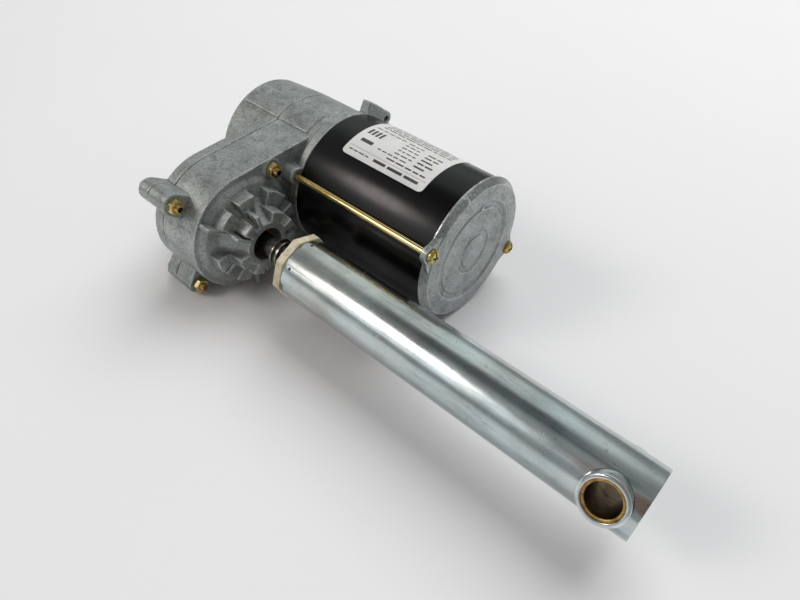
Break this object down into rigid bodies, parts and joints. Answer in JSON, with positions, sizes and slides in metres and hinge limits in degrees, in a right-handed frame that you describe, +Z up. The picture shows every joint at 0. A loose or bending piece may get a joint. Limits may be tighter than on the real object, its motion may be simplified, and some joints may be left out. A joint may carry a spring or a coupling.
{
  "type": "linear actuator",
  "caption": "Electric linear actuator: a geared motor beside a lead screw drives a steel tube with a bushed cross eye at its end and an eye at the rear.",
  "frame": {"origin": "centre of the bounding box's underside, on the surface that the actuator lies on", "axes": "+X along the lead screw towards the free end of the drive tube, +Y from the screw side to the motor side, +Z up; the actuator lies on its motor and one ear of the gear case, rolled 3.97 degrees about X"},
  "size_m": [0.3484, 0.1732, 0.0965],
  "materials": {
    "cast": "as cast, tumbled, dull silver grey",
    "yellow_zinc": "yellow zinc plated steel",
    "bronze": "sintered bronze",
    "gasket": "dark fibre sheet",
    "rubber": "matt black rubber",
    "black_paint": "gloss black paint on rolled steel",
    "label": "satin plastic film with printed grey rules",
    "lamination": "stacked laminations",
    "copper": "varnished copper winding",
    "friction": "friction-faced disc",
    "dark_steel": "dark painted steel",
    "nylon": "natural nylon, slightly yellowed",
    "phenolic": "fabric-filled phenolic",
    "bright_steel": "bright zinc plated steel tube, fine draw lines",
    "steel": "turned steel"
  },
  "bodies": {
    "housing": {"front_housing": "cast", "gasket": "gasket", "rear_cover": "cast", "rear_bushing": "bronze", "lead_grommet": "rubber", "case_bolt_1": "yellow_zinc", "case_bolt_2": "yellow_zinc", "case_bolt_3": "yellow_zinc", "case_bolt_4": "yellow_zinc", "case_bolt_5": "yellow_zinc", "case_nut_1": "yellow_zinc", "case_nut_2": "yellow_zinc", "case_nut_3": "yellow_zinc", "case_nut_4": "yellow_zinc", "case_nut_5": "yellow_zinc", "motor_shell": "black_paint", "motor_end_cap": "cast", "through_bolt_1": "yellow_zinc", "through_bolt_2": "yellow_zinc", "rating_label": "label", "stator_core": "lamination", "coil_front": "copper", "coil_rear": "copper", "motor_bearing_front": "steel", "motor_bearing_rear": "steel", "wave_washer": "steel", "shaft_bush": "bronze", "brake_coil": "dark_steel", "cup_cover": "steel", "cup_screw_1": "steel", "cup_screw_2": "steel", "cup_screw_3": "steel", "intermediate_bush_front": "bronze", "intermediate_bush_rear": "bronze", "thrust_bearing": "steel", "rear_bearing": "steel", "boss_bush": "bronze"},
    "rotor": {"rotor_shaft": "steel", "rotor_core": "lamination", "brake_disc": "friction"},
    "idler": {"intermediate_shaft": "steel", "intermediate_gear": "phenolic"},
    "screw": {"lead_screw": "steel", "screw_stop": "steel", "screw_gear": "steel", "gear_key": "steel"},
    "tube": {"drive_tube": "bright_steel", "drive_nut": "nylon", "nut_pin_1": "steel", "nut_pin_2": "steel", "end_sleeve": "bright_steel", "end_bushing_1": "bronze", "end_bushing_2": "bronze"}
  },
  "joints": [
    {"name": "rotor_spin", "type": "hinge", "parent": "housing", "child": "rotor", "pos_m": [-0.04915, 0.03736, 0.04781], "axis": [1, 0, 0], "range_deg": [-244901.14, 20991.53]},
    {"name": "idler_spin", "type": "hinge", "parent": "housing", "child": "idler", "pos_m": [-0.11915, 0.00011, 0.04031], "axis": [1, 0, 0], "range_deg": [-3936.3, 45923.56]},
    {"name": "screw_spin", "type": "hinge", "parent": "housing", "child": "screw", "pos_m": [-0.04915, -0.04235, 0.04228], "axis": [1, 0, 0], "range_deg": [-11906.11, 1020.52]},
    {"name": "tube_slide", "type": "slide", "parent": "housing", "child": "tube", "axis": [1, 0, 0], "range_m": [-0.012, 0.14]}
  ],
  "couplings": [
    {"joint": "idler_spin", "follows": "rotor_spin", "ratio": -0.1875},
    {"joint": "screw_spin", "follows": "rotor_spin", "ratio": 0.048611},
    {"joint": "tube_slide", "follows": "rotor_spin", "m_per_rad": -0.000032752}
  ]
}
